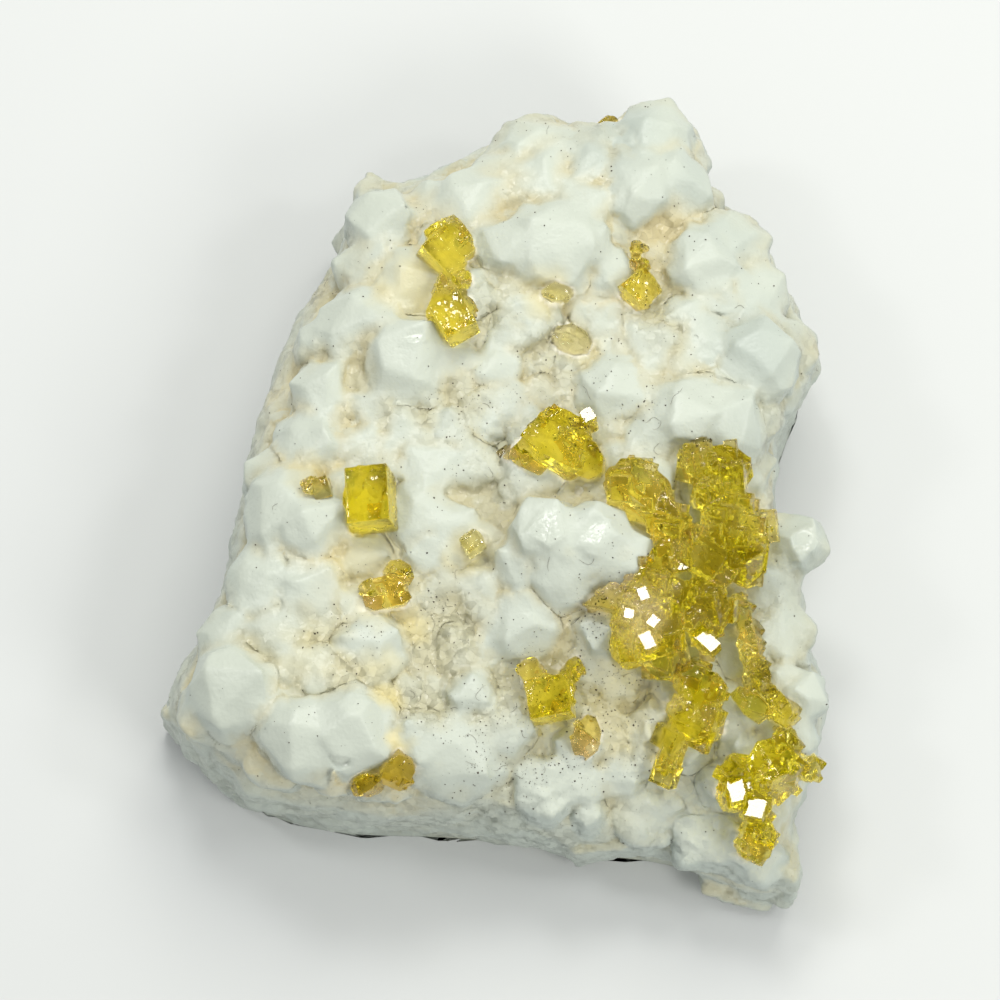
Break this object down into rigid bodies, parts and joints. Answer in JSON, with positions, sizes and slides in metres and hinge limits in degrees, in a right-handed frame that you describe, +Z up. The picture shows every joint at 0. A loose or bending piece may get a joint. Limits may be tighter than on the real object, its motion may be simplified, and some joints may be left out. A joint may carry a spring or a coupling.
{
  "type": "barite specimen",
  "caption": "Hand-sized mineral specimen: honey-yellow barite crystals scattered over a slab of milky white, blunt calcite crystals.",
  "frame": {"origin": "centre of the specimen's footprint on the surface it lies on", "axes": "+Z up out of the crystal face, +Y from the near edge to the far edge, +X to the right"},
  "size_m": [0.0676, 0.0828, 0.0264],
  "materials": {
    "milky_calcite": "milky, waxy crystal faces with sugary broken sides",
    "honey_barite": "see-through honey yellow, glassy with etched faces",
    "pale_barite": "see-through pale lemon, glassy",
    "brown_barite": "see-through brown, glassy with dust on it"
  },
  "bodies": {
    "root": {"calcite_matrix": "milky_calcite", "barite_upper_left": "honey_barite", "barite_upper_right": "honey_barite", "barite_centre": "honey_barite", "barite_left": "honey_barite", "barite_horned": "honey_barite", "barite_main": "honey_barite", "barite_lower": "honey_barite", "barite_edge": "honey_barite", "barite_pale_blade": "pale_barite", "barite_pale_chip": "pale_barite", "barite_left_chip": "pale_barite", "barite_lower_left": "pale_barite", "barite_mid_chip": "pale_barite", "barite_drop": "pale_barite", "barite_far_edge": "brown_barite", "barite_foot": "brown_barite"}
  },
  "joints": []
}
